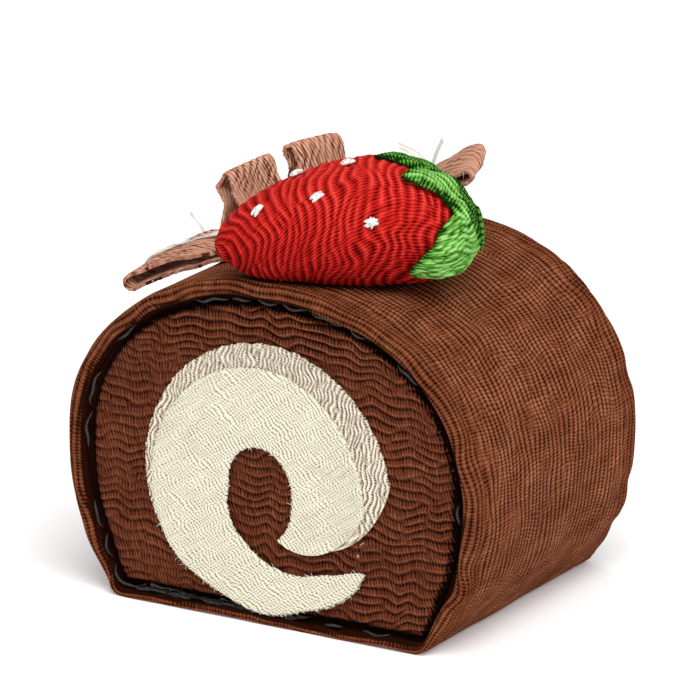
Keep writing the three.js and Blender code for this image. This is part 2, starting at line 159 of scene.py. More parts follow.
def close_rims(piece):
    """Closes each open rim with one face, and turns every face outwards."""
    pick_only(piece)
    bpy.ops.object.mode_set(mode="EDIT")
    bpy.ops.mesh.select_mode(type="EDGE")
    bpy.ops.mesh.select_all(action="DESELECT")
    bpy.ops.mesh.select_non_manifold(
        extend=False, use_wire=False, use_multi_face=False, use_non_contiguous=False)
    bpy.ops.mesh.edge_face_add()
    bpy.ops.mesh.select_all(action="SELECT")
    bpy.ops.mesh.normals_make_consistent(inside=False)
    bpy.ops.object.mode_set(mode="OBJECT")


def back_up(piece, depth):
    """Turns a patch's rim back along Y by depth, and closes it behind."""
    pick_only(piece)
    bpy.ops.object.mode_set(mode="EDIT")
    bpy.ops.mesh.select_mode(type="EDGE")
    bpy.ops.mesh.select_all(action="SELECT")
    bpy.ops.mesh.region_to_loop()
    bpy.ops.mesh.extrude_region_move(TRANSFORM_OT_translate={"value": (0, depth * MM, 0)})
    bpy.ops.mesh.edge_face_add()
    bpy.ops.mesh.select_all(action="SELECT")
    bpy.ops.mesh.normals_make_consistent(inside=False)
    bpy.ops.object.mode_set(mode="OBJECT")


def thicken(piece, thickness):
    """Gives a single layer of cloth its thickness, half to each side."""
    pick_only(piece)
    wall = piece.modifiers.new("cloth", "SOLIDIFY")
    wall.thickness = thickness * MM
    wall.offset = 0
    bpy.ops.object.modifier_apply(modifier=wall.name)


def soften(piece, degrees=60):
    pick_only(piece)
    bpy.ops.object.shade_smooth_by_angle(angle=math.radians(degrees))


def join(pieces, name):
    bpy.ops.object.select_all(action="DESELECT")
    for piece in pieces:
        piece.select_set(True)
    bpy.context.view_layer.objects.active = pieces[0]
    bpy.ops.object.join()
    whole = bpy.context.object
    whole.name = whole.data.name = name
    return whole


def piece_from(name, points, faces):
    """A piece from its points, in millimetres, and its faces, which are turned outwards."""
    mesh = bpy.data.meshes.new(name)
    mesh.from_pydata([tuple(float(c) * MM for c in point) for point in points], [], faces)
    piece = bpy.data.objects.new(name, mesh)
    bpy.context.collection.objects.link(piece)
    pick_only(piece)
    bpy.ops.object.mode_set(mode="EDIT")
    bpy.ops.mesh.select_all(action="SELECT")
    bpy.ops.mesh.normals_make_consistent(inside=False)
    bpy.ops.object.mode_set(mode="OBJECT")
    soften(piece, 80)
    return piece


def finish_piece(piece, material, slot, *nodes):
    piece.data.materials.clear()
    piece.data.materials.append(material)
    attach(piece, "root")
    if nodes:
        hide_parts(*nodes)


# Materials

def srgb(red, green, blue):
    """A colour given as on screen, from 0 to 255, as a linear colour."""
    return tuple(
        (c / 255 / 12.92) if c <= 10 else ((c / 255 + 0.055) / 1.055) ** 2.4 for c in (red, green, blue)
    ) + (1.0,)


def add_node(material, kind, **values):
    node = material.node_tree.nodes.new(kind)
    for key, value in values.items():
        setattr(node, key, value)
    return node


def sums(material, operation, first, second):
    """A Math node on two values, each a socket or a number."""
    node = add_node(material, "ShaderNodeMath", operation=operation)
    for socket, value in zip(node.inputs, (first, second)):
        if isinstance(value, bpy.types.NodeSocket):
            material.node_tree.links.new(value, socket)
        else:
            socket.default_value = value
    return node.outputs[0]


def new_material(name):
    material = bpy.data.materials.new(name)
    material.use_nodes = True
    return material, material.node_tree.links, material.node_tree.nodes["Principled BSDF"]


def noise_of(material, vector, scale, detail, roughness=0.5):
    node = add_node(material, "ShaderNodeTexNoise")
    for name, value in (("Scale", scale), ("Detail", detail), ("Roughness", roughness)):
        node.inputs[name].default_value = value
    material.node_tree.links.new(vector, node.inputs["Vector"])
    return node.outputs["Fac"]


def threads_of(material, vector, direction, pitch, distortion, detail_scale):
    """Bands that stand for threads at this pitch, in millimetres, on cloth coordinates."""
    node = add_node(material, "ShaderNodeTexWave", wave_type="BANDS", bands_direction=direction)
    node.inputs["Scale"].default_value = 0.314159 / (pitch / 10)
    node.inputs["Distortion"].default_value = distortion
    node.inputs["Detail"].default_value = 2
    node.inputs["Detail Scale"].default_value = detail_scale
    material.node_tree.links.new(vector, node.inputs["Vector"])
    return node.outputs["Fac"]


def roughen(material, height, strength, relief):
    bump = add_node(material, "ShaderNodeBump")
    bump.inputs["Strength"].default_value = strength
    bump.inputs["Distance"].default_value = relief * MM
    material.node_tree.links.new(height, bump.inputs["Height"])
    shader = material.node_tree.nodes["Principled BSDF"]
    material.node_tree.links.new(bump.outputs["Normal"], shader.inputs["Normal"])


def crepe_cloth(name, tones, thread, tick, grain, patch, relief, roughness, sheen, places=(0.02, 0.45, 0.98)):
    """Crepe: dark furrows and light crests where the piece's own ridges are, crossed by its threads.

    tones are the colours of furrow, slope and crest, and thread is the threads' pitch in millimetres."""
    material, links, shader = new_material(name)
    ridge = add_node(material, "ShaderNodeAttribute", attribute_name="tone")
    cloth = add_node(material, "ShaderNodeUVMap", uv_map="cloth")
    place = add_node(material, "ShaderNodeTexCoord")

    threads = threads_of(material, cloth.outputs["UV"], "X", thread, 2.2, 1.4)
    fuzz = noise_of(material, place.outputs["Object"], 5200, 3, 0.6)
    patches = noise_of(material, place.outputs["Object"], 170, 4)
    strands = add_node(material, "ShaderNodeMapping")
    strands.inputs["Scale"].default_value = (8 / thread, 2.2, 1)
    links.new(cloth.outputs["UV"], strands.inputs["Vector"])
    odd = noise_of(material, strands.outputs["Vector"], 1, 2)
    gaps = sums(material, "SUBTRACT", sums(material, "POWER", threads, 0.6), 0.68)
    uneven_gaps = sums(material, "MULTIPLY", sums(material, "SUBTRACT", odd, 0.5), 1.1)
    gaps = sums(material, "ADD", gaps, uneven_gaps)
    open_to = add_node(material, "ShaderNodeMapRange")
    # The gaps between the threads show in the furrows and close on the crests.
    for end, value in (("From Min", 0.35), ("From Max", 0.85), ("To Min", 1.2), ("To Max", 0.3)):
        open_to.inputs[end].default_value = value
    links.new(ridge.outputs["Fac"], open_to.inputs["Value"])
    weave = add_node(material, "ShaderNodeAttribute", attribute_name="weave")
    crossed = sums(material, "MULTIPLY", sums(material, "MULTIPLY", gaps, open_to.outputs["Result"]),
                   sums(material, "MULTIPLY", weave.outputs["Fac"], tick))
    rough = sums(material, "MULTIPLY", sums(material, "SUBTRACT", fuzz, 0.5), grain)
    uneven = sums(material, "MULTIPLY", sums(material, "SUBTRACT", patches, 0.5), patch)
    tone = sums(material, "ADD", sums(material, "ADD", ridge.outputs["Fac"], crossed),
                sums(material, "ADD", rough, uneven))

    ramp = add_node(material, "ShaderNodeValToRGB")
    ramp.color_ramp.interpolation = "EASE"
    ramp.color_ramp.elements[0].position = places[0]
    ramp.color_ramp.elements[0].color = tones[0]
    ramp.color_ramp.elements[1].position = places[2]
    ramp.color_ramp.elements[1].color = tones[2]
    middle = ramp.color_ramp.elements.new(places[1])
    middle.color = tones[1]
    links.new(tone, ramp.inputs["Fac"])
    links.new(ramp.outputs["Color"], shader.inputs["Base Color"])

    roughen(material, sums(material, "ADD", sums(material, "MULTIPLY", threads, 0.75), fuzz), 0.9, relief)
    shader.inputs["Roughness"].default_value = roughness
    shader.inputs["Specular IOR Level"].default_value = 0.04
    shader.inputs["Sheen Weight"].default_value = sheen
    shader.inputs["Sheen Roughness"].default_value = 0.5
    shader.inputs["Sheen Tint"].default_value = tones[2]
    return material


def sheer_cloth(name, colour, cover):
    """Organza: fine bright threads with gaps between them."""
    material, links, shader = new_material(name)
    cloth = add_node(material, "ShaderNodeUVMap", uv_map="cloth")
    ways = [threads_of(material, cloth.outputs["UV"], direction, 0.22, 1.2, 1.5) for direction in ("X", "Y")]
    both = sums(material, "MAXIMUM", *ways)
    solid = add_node(material, "ShaderNodeMapRange")
    solid.inputs["To Min"].default_value = cover * 0.55
    solid.inputs["To Max"].default_value = min(cover * 1.25, 1)
    links.new(both, solid.inputs["Value"])
    links.new(solid.outputs["Result"], shader.inputs["Alpha"])
    tint = add_node(material, "ShaderNodeValToRGB")
    tint.color_ramp.elements[0].color = tuple(0.8 * c for c in colour[:3]) + (1,)
    tint.color_ramp.elements[1].color = colour
    links.new(both, tint.inputs["Fac"])
    links.new(tint.outputs["Color"], shader.inputs["Base Color"])
    shader.inputs["Roughness"].default_value = 0.35
    shader.inputs["Sheen Weight"].default_value = 0.2
    return material


def twisted_thread(name, dark, light, gloss):
    """Sewing thread: a darker tone with lighter patches along its twist, which are painted highlights."""
    material, links, shader = new_material(name)
    place = add_node(material, "ShaderNodeTexCoord")
    strands = noise_of(material, place.outputs["Object"], 2600, 3)
    ramp = add_node(material, "ShaderNodeValToRGB")
    ramp.color_ramp.elements[0].position = 0.35
    ramp.color_ramp.elements[0].color = dark
    ramp.color_ramp.elements[1].position = 0.68
    ramp.color_ramp.elements[1].color = light
    links.new(strands, ramp.inputs["Fac"])
    links.new(ramp.outputs["Color"], shader.inputs["Base Color"])
    roughen(material, strands, 0.7, 0.05)
    shader.inputs["Roughness"].default_value = gloss
    return material


cocoa = crepe_cloth(
    "cocoa_crepe",
    (srgb(36, 10, 2), srgb(110, 57, 33), srgb(170, 112, 82)),
    thread=0.48, tick=0.36, grain=0.5, patch=0.3, relief=0.08, roughness=0.9, sheen=0.02,
)
cocoa_end = crepe_cloth(
    "cocoa_panel_crepe",
    (srgb(12, 3, 1), srgb(88, 42, 25), srgb(144, 84, 58)),
    thread=0.45, tick=0.62, grain=0.4, patch=0.25, relief=0.09, roughness=0.9, sheen=0.02,
)
beige = crepe_cloth(
    "beige_crepe",
    (srgb(74, 60, 48), srgb(192, 177, 157), srgb(255, 246, 228)),
    thread=0.34, tick=0.35, grain=0.35, patch=0.12, relief=0.04, roughness=0.88, sheen=0.02,
)
cream = crepe_cloth(
    "cream_crepe",
    (srgb(128, 118, 96), srgb(222, 216, 194), srgb(250, 246, 228)),
    thread=0.42, tick=0.45, grain=0.36, patch=0.1, relief=0.03, roughness=0.86, sheen=0.02,
)
red = crepe_cloth(
    "red_crepe",
    (srgb(66, 0, 0), srgb(172, 22, 17), srgb(230, 68, 58)),
    thread=0.46, tick=0.42, grain=0.35, patch=0.2, relief=0.08, roughness=0.8, sheen=0.03,
)
green = crepe_cloth(
    "green_crepe",
    (srgb(8, 44, 4), srgb(86, 146, 50), srgb(156, 214, 124)),
    thread=0.42, tick=0.5, grain=0.35, patch=0.2, relief=0.07, roughness=0.82, sheen=0.03,
)
rose = crepe_cloth(
    "rose_crepe",
    (srgb(86, 38, 24), srgb(180, 126, 100), srgb(232, 184, 160)),
    thread=0.5, tick=0.75, grain=0.35, patch=0.2, relief=0.08, roughness=0.88, sheen=0.02,
)
organza = sheer_cloth("organza", srgb(246, 247, 236), 0.62)
rose_fibre = twisted_thread("rose_fibre", srgb(186, 144, 120), srgb(246, 232, 218), 0.8)
white_thread = twisted_thread("white_thread", srgb(188, 184, 174), srgb(252, 250, 246), 0.6)
black_thread = twisted_thread("black_thread", srgb(6, 5, 4), srgb(46, 43, 38), 0.6)


# The roll: a stuffed log of cocoa crepe with a soft welt at each end

# How far apart each cloth's ridges are, in millimetres
SIDE_RIDGES, RIM_CORDS, PANEL_RIDGES, BEIGE_RIDGES, CREAM_RIDGES = 1.02, 0.56, 1.2, 0.6, 0.5
BERRY_RIDGES, LEAF_RIDGES, LOWER_LEAF_RIDGES, RIBBON_RIDGES = 1.32, 0.9, 0.95, 1.0

LENGTH = 42.2
HALF_WIDTH, WIDEST_AT, CROWN, CROWN_POWER = 30, 20.6, 24.6, 2.15
FOOT_HALF, FLANK_POWER, FOOT_ROUND = 23, 2.6, 1.4
END = LENGTH / 2


def roll_half():
    """The right half of the roll's section as a fine line of X and Z, from the foot's middle to the top."""
    down = 1 - np.linspace(0, 1, 200)
    flank = np.stack([HALF_WIDTH - (HALF_WIDTH - FOOT_HALF) * down**FLANK_POWER, WIDEST_AT * (1 - down)], 1)
    turn = np.linspace(0, math.pi / 2, 600)
    crown = np.stack([HALF_WIDTH * np.cos(turn) ** (2 / CROWN_POWER),
                      WIDEST_AT + CROWN * np.sin(turn) ** (2 / CROWN_POWER)], 1)
    length = np.hypot(*(flank - flank[0]).T)
    start = np.array([FOOT_HALF - FOOT_ROUND, 0.0])
    corner = np.array([FOOT_HALF, 0.0])
    ahead = flank[np.searchsorted(length, FOOT_ROUND)]
    t = np.linspace(0, 1, 20)[:, None]
    curve = (1 - t) ** 2 * start + 2 * t * (1 - t) * corner + t**2 * ahead
    foot = np.stack([np.linspace(0, start[0], 60), np.zeros(60)], 1)
    rest = flank[length > FOOT_ROUND * 1.02]
    return np.concatenate([foot[:-1], curve, rest, crown[1:]])


def roll_section(step, foot_step):
    """Points of the whole section anticlockwise from the middle of the foot, and how far round each is."""
    right = roll_half()
    whole = np.concatenate([right, (right * [-1, 1])[::-1][1:]])
    length = np.concatenate([[0], np.cumsum(np.hypot(*np.diff(whole, axis=0).T))])
    on_foot = np.interp(FOOT_HALF - 3, whole[:300, 0], length[:300])
    total = length[-1]
    side = np.linspace(on_foot, total - on_foot, int((total - 2 * on_foot) / step))
    first = np.linspace(0, on_foot, int(on_foot / foot_step), endpoint=False)
    places = np.concatenate([first, side, (total - first)[::-1]])
    return np.stack([np.interp(places, length, whole[:, k]) for k in (0, 1)], 1), places


def outward(line):
    """Unit normals of a closed line of X and Z whose last point is its first."""
    wide = np.concatenate([line[-2:-1], line, line[1:2]])
    step = wide[2:] - wide[:-2]
    normal = np.stack([step[:, 1], -step[:, 0]], 1)
    return normal / np.linalg.norm(normal, axis=1, keepdims=True)


WELT_SIDE, WELT_BASE, WELT_ROUND, RECESS = 2.2, 1.0, 1.1, 2.1


def welt_width(z):
    return WELT_BASE + (WELT_SIDE - WELT_BASE) * smooth(z, 0, 7)


def cover_profile(step):
    """From one end's recess over its welt, along the roll and into the other end's recess.

    Each point has the share of the welt's width that it lies inwards, and its Y."""
    turn = np.linspace(math.pi, 0, 22)
    welt = np.stack([(1 - np.cos(turn)) / 2, WELT_ROUND * (1 - np.sin(turn)) - END], 1)
    inner = np.stack([np.ones(8), np.linspace(RECESS, WELT_ROUND, 8, endpoint=False) - END], 1)
    front = np.concatenate([inner, welt])
    middle = np.stack([np.zeros(3), [-END / 2, 0, END / 2]], 1)
    line = np.concatenate([front, middle, (front * [1, -1])[::-1]])
    scaled = line * [2.0, 1.0]
    length = np.concatenate([[0], np.cumsum(np.hypot(*np.diff(scaled, axis=0).T))])
    places = np.linspace(0, length[-1], int(length[-1] / step))
    return np.stack([np.interp(places, length, line[:, k]) for k in (0, 1)], 1), places


heading, pitch = math.radians(38), math.radians(3.6)
axis = np.array([math.cos(heading) * math.cos(pitch), math.sin(heading) * math.cos(pitch), math.sin(pitch)])
up = np.array([0, 0, 1.0]) - axis * axis[2]
up /= np.linalg.norm(up)
near_side = np.cross(axis, up)
berry_tip = np.array([9.1, -7.8, 52.0]) - axis * 21.6
BERRY_LENGTH, BERRY_RADIUS, BERRY_WIDEST = 33.0, 8.3, 20.5


def berry_radius(along):
    swelling = BERRY_RADIUS * np.sin(np.pi / 2 * np.clip(along / BERRY_WIDEST, 0, 1)) ** 0.53
    past = np.clip((along - BERRY_WIDEST) / (BERRY_LENGTH - BERRY_WIDEST), 0, 1)
    return np.where(along < BERRY_WIDEST, swelling, BERRY_RADIUS * np.sqrt(1 - past**2))


def berry_middle(along):
    past = along - 22.6
    sunk = 1.2 * np.maximum(0, 1 - along / 21.6) ** 2 + 0.21 * (past + np.sqrt(past * past + 1.5)) / 2
    return berry_tip + axis * along[..., None] - up * sunk[..., None]


def berry_point(along, turn, proud=0.0):
    """Points on or proud of the strawberry's skin, that far along from its tip.

    turn is in degrees: 0 is up and 90 is the near side."""
    along, turn = np.broadcast_arrays(np.asarray(along, float), np.asarray(turn, float))
    out = np.cos(np.radians(turn))[..., None] * up + np.sin(np.radians(turn))[..., None] * near_side
    slope = np.clip((berry_radius(along + 0.05) - berry_radius(along - 0.05)) / 0.1, -8, 8)
    normal = out - axis * slope[..., None]
    normal /= np.linalg.norm(normal, axis=-1, keepdims=True)
    return berry_middle(along) + out * berry_radius(along)[..., None] + normal * np.asarray(proud)[..., None]


def berry_clearance(points):
    """How far points are from the strawberry's skin."""
    along = np.clip((points - berry_tip) @ axis, 0.3, BERRY_LENGTH - 0.3)
    return np.linalg.norm(points - berry_middle(along), axis=-1) - berry_radius(along)


def make_cover():
    section, around = roll_section(0.62, 2.4)
    normal = outward(section)
    profile, along = cover_profile(0.118)
    share, y = profile[:, :1], profile[:, 1:]
    inwards = share * welt_width(section[:, 1])[None, :]
    # The rim isn't quite even: it swells between its stitches and is pinched in at three of them.
    near_end = 1 - smooth(END - np.abs(y), 0.5, 6)
    which_end = np.sign(y) * 40 + 0 * around[None, :]
    lumps = np.where(y < 0, 0.22, 0.09) * drift(around[None, :] + 0 * y, which_end, 14, 5)
    at_side = np.concatenate([[0.0], np.cumsum(np.hypot(*np.diff(section, axis=0).T))])
    right_half = section[: len(section) // 2]
    pinch = 0
    for height, depth in ((6.5, 0.5), (12.5, 0.4), (27, 0.3)):
        place = at_side[np.argmin(np.abs(right_half[:, 1] - height) + (right_half[:, 0] < 20) * 99)]
        pinch = pinch + depth * np.exp(-(((around[None, :] - place) / 1.6) ** 2))
    bulge = 0.16 * drift(around[None, :] + 0 * y, y + 0 * around[None, :], 17, 8)
    inwards = inwards - near_end * lumps + near_end * (1 - share) * pinch - bulge * (1 - near_end)
    x, z = section[None, :, 0], section[None, :, 1]
    inwards = inwards - 0.42 * smooth(z, 2, 8) * (1 - smooth(z, 26, 36))
    on_crown = smooth(x, 6, 14) * (1 - smooth(x, 20, 29)) * smooth(z, 20, 30)
    inwards = inwards - 0.5 * on_crown * smooth(y, -12, 8)
    low = 1 - smooth(z, 0, 2.5)
    inwards = inwards * (1 - 0.7 * low * (1 - share))
    points = np.empty(inwards.shape + (3,))
    points[..., 0] = section[None, :, 0] - normal[None, :, 0] * inwards
    points[..., 1] = y + 0.55 * np.sign(y) * low * smooth(np.abs(y), END - 1.6, END - 0.2)
    points[..., 2] = section[None, :, 1] - normal[None, :, 1] * inwards
    # Ridges run round the roll, and they are even cords beside each rim.
    rim = smooth(END - np.abs(y), 1.5, 6.5)
    from_middle = along - along[-1] / 2
    distance = np.abs(from_middle)
    stretched = np.where(distance < 17, distance, 17 + (distance - 17) * 0.62) * np.sign(from_middle)
    u = around[None, :] + 0 * y
    v = stretched[:, None] + 0 * around[None, :]
    v = v + 0.25 * drift(u, v, 9, 31)
    rows, firm = ripples(u, v, SIDE_RIDGES, 0.1, 7, spread=0.1)
    cords = (v / RIM_CORDS + 0.3 * drift(u, v * 3, 12, 32)) % 1
    body = smooth(END - np.abs(y), 1.6, 4.5)
    height = swell_of(cords, 1) + (swell_of(rows, firm) - swell_of(cords, 1)) * body
    tone = tone_of(cords, 1, 0.5, 0.18, 0.2, 0.34, 0.16)
    tone = tone + (tone_of(rows, firm, 0.5, 0.16, 0.26, 0.5, 0.15) - tone) * body
    # Painted shade darkens the welt's inner wall where it turns into the groove, and the rim cords are a
    # little darker.
    tone = tone - 0.55 * smooth(share, 0.72, 0.95) - 0.1 * (1 - body)
    high = 0.24 - 0.14 * rim
    relief = (height**0.7 - 0.7) * high
    out = facing(points, closed=True)
    if out[len(y) // 2, len(section) // 2, 2] < 0:
        out = -out
    points = points + out * relief[..., None]
    points[:, -1] = points[:, 0]
    points[..., 2] = np.maximum(points[..., 2], 0)
    # The crossing threads wander a little from ridge to ridge.
    cloth = np.stack([u + 0.1 * drift(u, v, 2.2, 33) + 0.5 * drift(u, v, 11, 36), v], -1)
    tone = tone + 0.06 * drift(u, v, 1.1, 34) + 0.05 * drift(u, v, 5, 35)
    tone[:, -1] = tone[:, 0]
    # Painted shadow: the cover darkens close under the strawberry.
    tone = tone - 0.45 * np.exp(-((np.maximum(berry_clearance(points), 0) / 0.9) ** 2))
    piece = cloth_grid("roll_cloth", points, cloth, tone, closed=True, weave=0.8 + 0.2 * body)
    close_rims(piece)
    soften(piece)
    finish_piece(piece, cocoa, "cocoa_crepe", "roll_cover")
    return piece


make_cover()

# The end panels: crepe with its ridges level, its rim turned down into a dark groove

PANEL_FRONT, PANEL_GAP = 0.75, 0.55


def panel_line():
    """The panel's edge as half widths at rising heights."""
    section, _ = roll_section(0.3, 0.5)
    normal = outward(section)
    line = section - normal * (welt_width(section[:, 1]) + PANEL_GAP)[:, None]
    half = line[: len(line) // 2]
    foot = half[0, 1]
    order = np.argsort(half[:, 1])
    return half[order], foot


def make_panel(side):
    edge, foot = panel_line()
    top = edge[-1, 1]
    heights = np.linspace(foot, top - 0.03, 236)
    reach = np.interp(heights, edge[:, 1], edge[:, 0])
    reach[0] = reach[1]
    across = np.linspace(-1, 1, 200)
    x = reach[:, None] * across[None, :]
    z = heights[:, None] + 0 * x
    whole = np.concatenate([edge, edge[::-1] * [-1, 1]])
    near = np.full(x.shape, 1e9)
    for px, pz in whole[:: max(1, len(whole) // 420)]:
        near = np.minimum(near, np.hypot(x - px, z - pz))
    near = np.minimum(near, z - foot)
    wave = 0.32 * np.sin(2 * math.pi * x / 5.6 + 1.5 * drift(x, z, 14, 41)) + 0.5 * drift(x, z, 12, 43)
    # Towards the right-hand rim the ridges turn down a little, and they bunch at the top.
    turned = 0.9 * smooth(x, 8, 26) ** 2 * (z - 20) / 12
    share, firm = ripples(x, z + wave + turned, PANEL_RIDGES, 0.14, 11 if side < 0 else 12, spread=0.11)
    clear = 0.62 + 0.3 * drift(x, z, 8, 45) + 0.3 * smooth(x, -18, 14) + 0.2 * smooth(z, 30, 40)
    clear = np.clip(clear, 0.3, 1.1)
    height = swell_of(share, firm * clear, 0.38)
    tone = tone_of(share, firm * clear, 0.36, 0.32, 0.1, 0.46, 0.12) + 0.05 * drift(x, z, 1.0, 46)
    depth = PANEL_FRONT + 0.04 + 0.26 * (1 - height**0.8) + 0.75 * (1 - smooth(near, 0, 1.3)) ** 1.5
    bunch = smooth(z, top - 9, top - 1) * np.clip(0.5 + 0.5 * drift(x, z, 7, 44), 0, 1)
    depth = depth + 0.35 * bunch * (1 - height)
    # Painted shade: the panel darkens towards its rim, where it turns down into the groove, and in the deeper
    # furrows where the ridges bunch.
    tone = tone - 0.8 * (1 - smooth(near, 0.1, 1.0)) - 0.25 * bunch * (1 - height)
    points = np.stack([x, side * (END - depth), z], -1)
    points[..., 2] = np.maximum(points[..., 2], foot)
    cloth = np.stack([x + 0.3 * z + 0.12 * drift(x, z, 2.2, 47), z], -1)
    piece = cloth_grid("panel_cloth_" + ("front" if side < 0 else "back"), points, cloth, tone, weave=0.8)
    back_up(piece, -side * 0.45)
    soften(piece)
    finish_piece(piece, cocoa_end, "cocoa_panel_crepe", "end_panel_" + ("front" if side < 0 else "back"))
    return piece


for side in (-1, 1):
    make_panel(side)


def make_groove_thread(side, seed):
    """The dark thread that sews the panel in: long stitches that rise and sink in its groove."""
    edge, _ = panel_line()
    whole = np.concatenate([edge * [-1, 1], edge[::-1][1:]])
    normal = outward(np.concatenate([whole, whole[:1]]))[:-1]
    if normal[len(edge)][1] < 0:
        normal = -normal
    length = np.concatenate([[0], np.cumsum(np.hypot(*np.diff(whole, axis=0).T))])
    chance = np.random.default_rng(seed)
    points, faces = [], []
    start = 1.0
    while start < length[-1] - 5:
        long = chance.uniform(2.6, 5.4)
        if chance.random() < (0.9 if start < length[-1] * 0.56 else 0.2):
            t = np.linspace(0, 1, 22)
            place = start + long * t
            gap = PANEL_GAP * 0.6 + 0.14 * np.sin(place * 1.9 + seed)
            line = np.stack([np.interp(place, length, whole[:, k] + 0 * length) for k in (0, 1)], 1)
            side_on = np.stack([np.interp(place, length, normal[:, k]) for k in (0, 1)], 1)
            line = line + side_on * gap[:, None]
            sunk = 1.35 - 0.75 * np.sin(math.pi * t) ** 0.6
            round_to = np.radians(np.arange(0, 360, 45))[None, :]
            thick = 0.21 * np.sqrt(np.clip(np.sin(math.pi * (0.02 + 0.96 * t)), 0, 1))[:, None]
            out = line[:, None, :] + side_on[:, None, :] * (thick * np.cos(round_to))[..., None]
            depth = side * (END - sunk[:, None]) + thick * np.sin(round_to)
            first = len(points)
            points += [(x, y, z) for ring, deep in zip(out, depth) for (x, z), y in zip(ring, deep)]
            for ring in range(21):
                for k in range(8):
                    a = first + ring * 8 + k
                    b = first + ring * 8 + (k + 1) % 8
                    faces.append((a, b, b + 8, a + 8))
            faces.append(tuple(first + k for k in range(8)))
            faces.append(tuple(first + 21 * 8 + k for k in reversed(range(8))))
        start += long + chance.uniform(0.3, 1.1)
    piece = piece_from("groove_thread_" + ("front" if side < 0 else "back"), points, faces)
    finish_piece(piece, black_thread, "cocoa_panel_crepe")


make_groove_thread(-1, 5)
make_groove_thread(1, 6)

# The swirl: a cream layer sewn on a beige one

CENTRE = (-1.6, 16.9)
CLOTH = 0.3


# The cream layer's edges: angle, radius of the inner edge, radius of the outer edge.
SWIRL_EDGES = np.array([
    (-70, 6.32, 16.92), (-36, 5.52, 16.12), (0, 5, 15.6), (40, 5.62, 16.22), (80, 6.46, 17.06),
    (120, 6.13, 16.74), (150, 5.1, 16.25), (172, 4.53, 16.13), (200, 4.99, 15.96), (215, 5.4, 15.88),
    (223, 5.7, 15.69), (233, 6.08, 15.3), (241, 6.4, 15.12), (254, 6.96, 15.08), (262, 7.55, 15.4),
    (270, 8.2, 15.7), (281, 9.22, 15.75), (290, 10.16, 15.6), (298.5, 11.1, 15.9), (306.6, 11.92, 16.5),
    (314.2, 12.73, 17), (320.5, 13.83, 17.4), (326.2, 15, 17.6), (331, 16.3, 17.6), (333, 16.85, 17.5),
])


def swirl_edges(angle):
    """Radii of the cream layer's inner and outer edges, at angles in degrees."""
    places = SWIRL_EDGES[:, 0]
    i = np.clip(np.searchsorted(places, angle) - 1, 0, len(places) - 2)
    span = places[i + 1] - places[i]
    t = np.clip((angle - places[i]) / span, 0, 1)
    edges = []
    for values in SWIRL_EDGES.T[1:]:
        slope = np.gradient(values, places)
        eased = values[i] * (1 + 2 * t) * (1 - t) ** 2 + values[i + 1] * t * t * (3 - 2 * t)
        edges.append(eased + span * (slope[i] * t * (1 - t) ** 2 - slope[i + 1] * t * t * (1 - t)))
    return edges


def beige_margin(angle):
    share = np.clip((angle - 40) / (212 - 40), 0, 1)
    hem = 0.25 * np.clip((333 - angle) / 20, 0, 1)
    return np.maximum(4 * (1 - share**1.3), hem)


